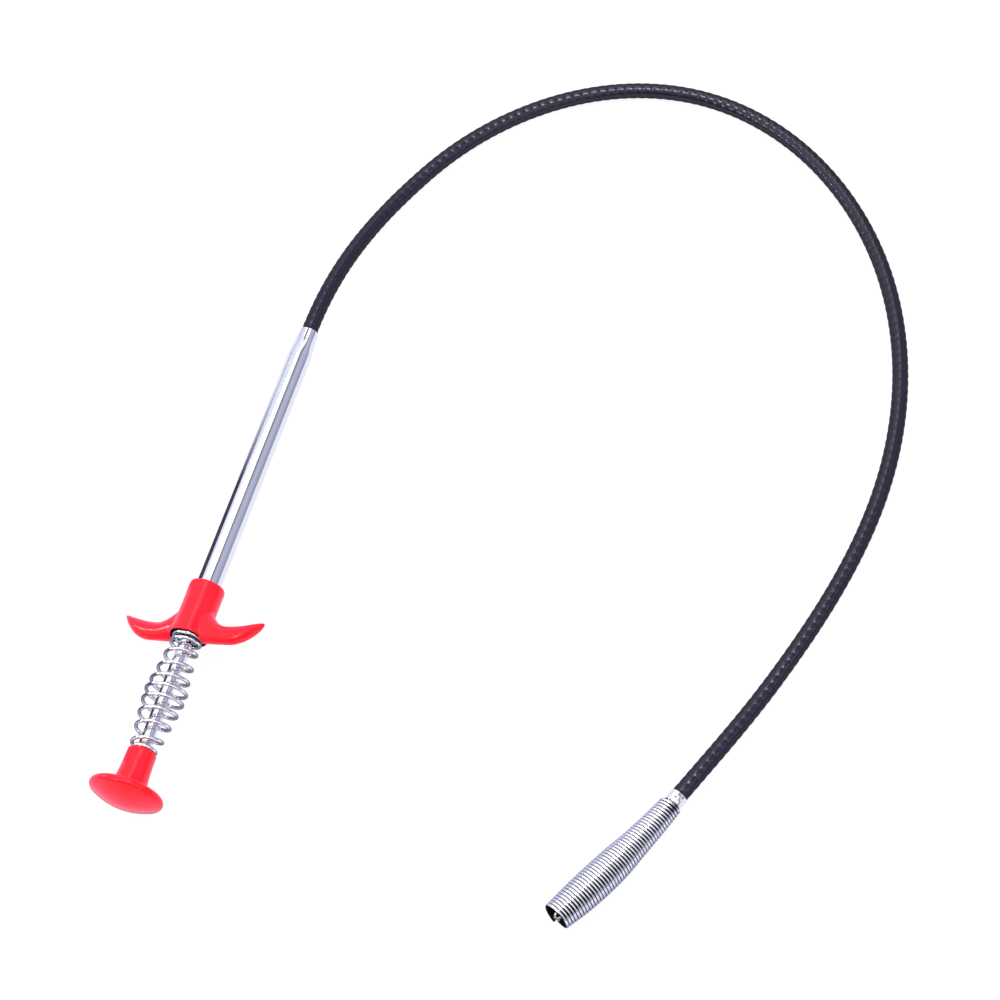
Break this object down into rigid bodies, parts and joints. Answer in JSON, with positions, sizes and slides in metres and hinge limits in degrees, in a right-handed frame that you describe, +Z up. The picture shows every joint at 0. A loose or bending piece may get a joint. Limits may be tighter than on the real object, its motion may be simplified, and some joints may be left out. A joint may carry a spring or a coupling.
{
  "type": "drain auger",
  "caption": "Flexible drain claw: a sprung finger-grip plunger pushes hooked wire claws out of a coiled tip on a long black sheath.",
  "frame": {"origin": "on the plane the tool lies on, at the middle of the whole tool's outline as seen from above", "axes": "+X along the handle's axis towards the sheath, +Z up from the plane, +Y to the left of the handle, so the sheath's loop lies on the -Y side"},
  "size_m": [0.3811, 0.267, 0.0282],
  "materials": {
    "red_plastic": "semi-gloss moulded plastic",
    "chromed_tube": "bright chrome plate",
    "brass_crimp": "plain turned",
    "spring_wire": "bright nickel-plated spring wire",
    "black_nylon": "plain moulded nylon",
    "black_vinyl": "semi-gloss ribbed vinyl jacket",
    "plain_steel": "plain drawn steel",
    "wire_rope": "stranded steel wire rope"
  },
  "bodies": {
    "handle_and_sheath": {"finger_grip": "red_plastic", "guide_bush": "black_nylon", "handle_tube": "chromed_tube", "return_spring": "spring_wire", "sheath_jacket": "black_vinyl", "sheath_spiral": "plain_steel", "core_cable": "wire_rope", "tip_ferrule": "chromed_tube", "tip_spring": "spring_wire"},
    "plunger": {"thumb_knob": "red_plastic", "plunger_tube": "chromed_tube", "cable_crimp": "brass_crimp"},
    "claw_carrier": {"claw_stem": "plain_steel", "claw_collar": "plain_steel"},
    "claw_1": {"claw_1": "spring_wire"},
    "claw_2": {"claw_2": "spring_wire"},
    "claw_3": {"claw_3": "spring_wire"},
    "claw_4": {"claw_4": "spring_wire"}
  },
  "joints": [
    {"name": "plunger_slide", "type": "slide", "parent": "handle_and_sheath", "child": "plunger", "axis": [1, 0, 0], "range_m": [0, 0.024], "stiffness_N_per_m": 350, "springref_m": -0.01, "deforming": ["return_spring"]},
    {"name": "claw_slide", "type": "slide", "parent": "handle_and_sheath", "child": "claw_carrier", "axis": [-0.8764, 0.4816, 0], "range_m": [0, 0.024]},
    {"name": "claw_1_spread", "type": "hinge", "parent": "claw_carrier", "child": "claw_1", "pos_m": [-0.16452, -0.06828, 0.00753], "axis": [0.3406, 0.6197, 0.7071], "range_deg": [0, 15]},
    {"name": "claw_2_spread", "type": "hinge", "parent": "claw_carrier", "child": "claw_2", "pos_m": [-0.16367, -0.06673, 0.00753], "axis": [0.3406, 0.6197, -0.7071], "range_deg": [0, 15]},
    {"name": "claw_3_spread", "type": "hinge", "parent": "claw_carrier", "child": "claw_3", "pos_m": [-0.16367, -0.06673, 0.00577], "axis": [-0.3406, -0.6197, -0.7071], "range_deg": [0, 15]},
    {"name": "claw_4_spread", "type": "hinge", "parent": "claw_carrier", "child": "claw_4", "pos_m": [-0.16452, -0.06828, 0.00577], "axis": [-0.3406, -0.6197, 0.7071], "range_deg": [0, 15]}
  ],
  "couplings": [
    {"joint": "claw_slide", "follows": "plunger_slide", "ratio": 1},
    {"joint": "claw_1_spread", "follows": "plunger_slide", "rad_per_m": 10.9},
    {"joint": "claw_2_spread", "follows": "plunger_slide", "rad_per_m": 10.9},
    {"joint": "claw_3_spread", "follows": "plunger_slide", "rad_per_m": 10.9},
    {"joint": "claw_4_spread", "follows": "plunger_slide", "rad_per_m": 10.9}
  ]
}
